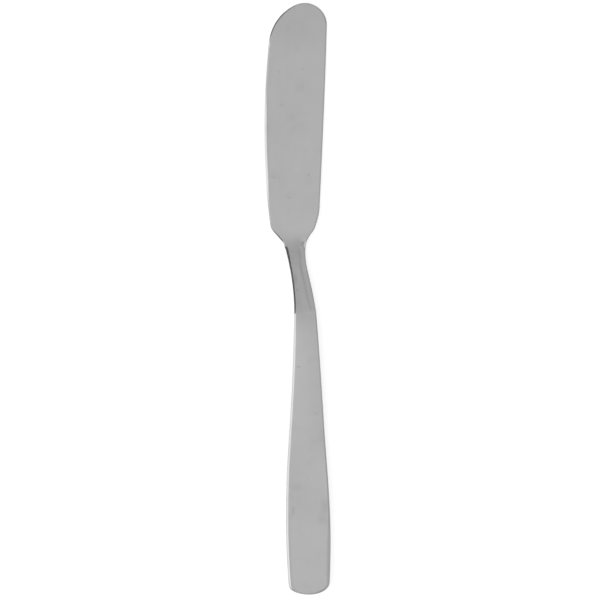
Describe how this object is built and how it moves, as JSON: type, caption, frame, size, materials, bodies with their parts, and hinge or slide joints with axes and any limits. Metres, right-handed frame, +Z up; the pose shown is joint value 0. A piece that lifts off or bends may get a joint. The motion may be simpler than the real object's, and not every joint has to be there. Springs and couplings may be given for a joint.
{
  "type": "butter knife",
  "caption": "Flat stainless butter knife with a broad round-tipped spreading blade, a slim cranked neck and a solid handle that widens to the butt.",
  "frame": {"origin": "middle of the knife's outline, on the surface that it lies on", "axes": "+Y from the butt to the tip of the blade, +X towards the spine of the blade, +Z up from the surface that the knife lies on"},
  "size_m": [0.019, 0.17, 0.0036],
  "materials": {
    "blade_steel": "finely satin-polished stainless steel, neutral grey with a soft sheen",
    "handle_steel": "satin-polished stainless steel with brighter coined edges",
    "braze": "silver braze metal, polished flush with the steel"
  },
  "bodies": {
    "root": {"blade": "blade_steel", "handle": "handle_steel", "braze_seam": "braze"}
  },
  "joints": []
}
